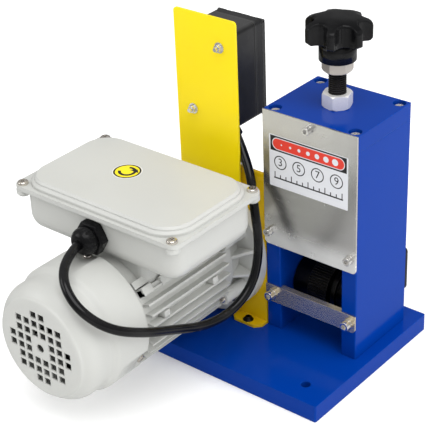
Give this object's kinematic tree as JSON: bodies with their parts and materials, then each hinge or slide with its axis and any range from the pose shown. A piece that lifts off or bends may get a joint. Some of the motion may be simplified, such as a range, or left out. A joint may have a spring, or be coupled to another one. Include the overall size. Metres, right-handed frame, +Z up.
{
  "type": "wire stripping machine",
  "caption": "Motor-driven bench machine: a knurled roller pulls insulated wire under a round blade whose height a screw with a star knob sets, beside a motor with a switch",
  "frame": {"origin": "centre of the underside of the base plate, which stands on the bench", "axes": "+Z up, +X to the right along the base plate, +Y to the back where the wire goes in; the wire comes out at -Y"},
  "size_m": [0.2755, 0.495, 0.3275],
  "materials": {
    "blue_paint": "smooth gloss paint",
    "black_steel": "black oxide",
    "stainless": "brushed",
    "yellow_zinc": "yellow passivated",
    "zinc": "bright zinc",
    "ground_steel": "ground",
    "bronze": "machined",
    "copper": "enamelled wire",
    "grey_paint": "grey paint on cast aluminium",
    "yellow_paint": "gloss paint",
    "black_plastic": "moulded",
    "clear_flap": "moulded",
    "switch_face": "moulded",
    "green_plastic": "moulded",
    "red_plastic": "moulded",
    "black_rubber": "smooth"
  },
  "bodies": {
    "frame": {"base_plate": "blue_paint", "left_side_plate": "blue_paint", "right_side_plate": "blue_paint", "top_plate": "blue_paint", "column_screws": "zinc", "guard_plate": "stainless", "exit_ledge": "yellow_zinc", "infeed_plate": "black_steel", "plate_screws": "zinc", "spring_washers": "zinc", "ball_bearings": "ground_steel", "guide_rods": "ground_steel", "motor_frame": "grey_paint", "drive_end_shield": "grey_paint", "rear_end_shield": "grey_paint", "stator_core": "ground_steel", "stator_windings": "copper", "fan_cover": "grey_paint", "motor_screws": "zinc", "terminal_box": "grey_paint", "terminal_lid": "grey_paint", "capacitor": "black_plastic", "cable_gland": "black_plastic", "gearbox_housing": "grey_paint", "gearbox_cover": "grey_paint", "motor_bracket": "yellow_paint", "drive_screws": "zinc", "flange_bolts": "zinc", "switch_plate": "yellow_paint", "switch_hardware": "zinc", "switch_box": "black_plastic", "switch_cover": "switch_face", "motor_lead": "black_rubber", "mains_lead": "black_rubber", "mains_coil": "black_rubber", "mains_tail": "black_rubber", "strain_reliefs": "black_rubber", "mains_plug": "black_rubber"},
    "carriage": {"blade_carriage": "black_steel", "guide_bushes": "bronze", "screw_retainer": "ground_steel", "blade_axle": "ground_steel"},
    "blade": {"blade_hub": "ground_steel", "blade_disc": "ground_steel"},
    "knob": {"height_screw": "black_steel", "jam_nut": "zinc", "star_knob": "black_plastic"},
    "lock_nut": {"lock_nut": "zinc"},
    "rotor": {"rotor_core": "ground_steel", "motor_shaft": "ground_steel", "cooling_fan": "black_plastic", "worm": "ground_steel"},
    "roller": {"roller_shafts": "ground_steel", "feed_wheel": "ground_steel", "roller_spacers": "black_steel", "shaft_coupling": "ground_steel", "worm_wheel": "bronze"},
    "start_button": {"start_button": "green_plastic"},
    "stop_button": {"stop_button": "red_plastic"},
    "flap": {"switch_flap": "clear_flap"}
  },
  "joints": [
    {"name": "knob_turn", "type": "hinge", "parent": "carriage", "child": "knob", "pos_m": [0.063, 0.03, 0.25], "axis": [0, 0, 1], "range_deg": [-2520, 1080]},
    {"name": "blade_height", "type": "slide", "parent": "frame", "child": "carriage", "axis": [0, 0, 1], "range_m": [-0.014, 0.006]},
    {"name": "blade_spin", "type": "hinge", "parent": "carriage", "child": "blade", "pos_m": [0.0575, 0.03, 0.124], "axis": [1, 0, 0], "continuous": true},
    {"name": "rotor_spin", "type": "hinge", "parent": "frame", "child": "rotor", "pos_m": [-0.056, -0.08, 0.088], "axis": [0, 1, 0], "continuous": true},
    {"name": "roller_spin", "type": "hinge", "parent": "frame", "child": "roller", "pos_m": [0.063, 0.03, 0.058], "axis": [1, 0, 0], "continuous": true},
    {"name": "lock_nut_turn", "type": "hinge", "parent": "frame", "child": "lock_nut", "pos_m": [0.063, 0.03, 0.2505], "axis": [0, 0, 1], "range_deg": [0, 180]},
    {"name": "start_press", "type": "slide", "parent": "frame", "child": "start_button", "axis": [0, -1, 0], "range_m": [0, 0.003], "stiffness_N_per_m": 1000, "springref_m": -0.002},
    {"name": "stop_press", "type": "slide", "parent": "frame", "child": "stop_button", "axis": [0, -1, 0], "range_m": [0, 0.003], "stiffness_N_per_m": 1000, "springref_m": -0.002},
    {"name": "flap_lift", "type": "hinge", "parent": "frame", "child": "flap", "pos_m": [-0.04465, 0.033, 0.3022], "axis": [1, 0, 0], "range_deg": [0, 100]}
  ],
  "couplings": [
    {"joint": "knob_turn", "follows": "blade_height", "rad_per_m": 3141.6},
    {"joint": "roller_spin", "follows": "rotor_spin", "ratio": -0.083333}
  ]
}
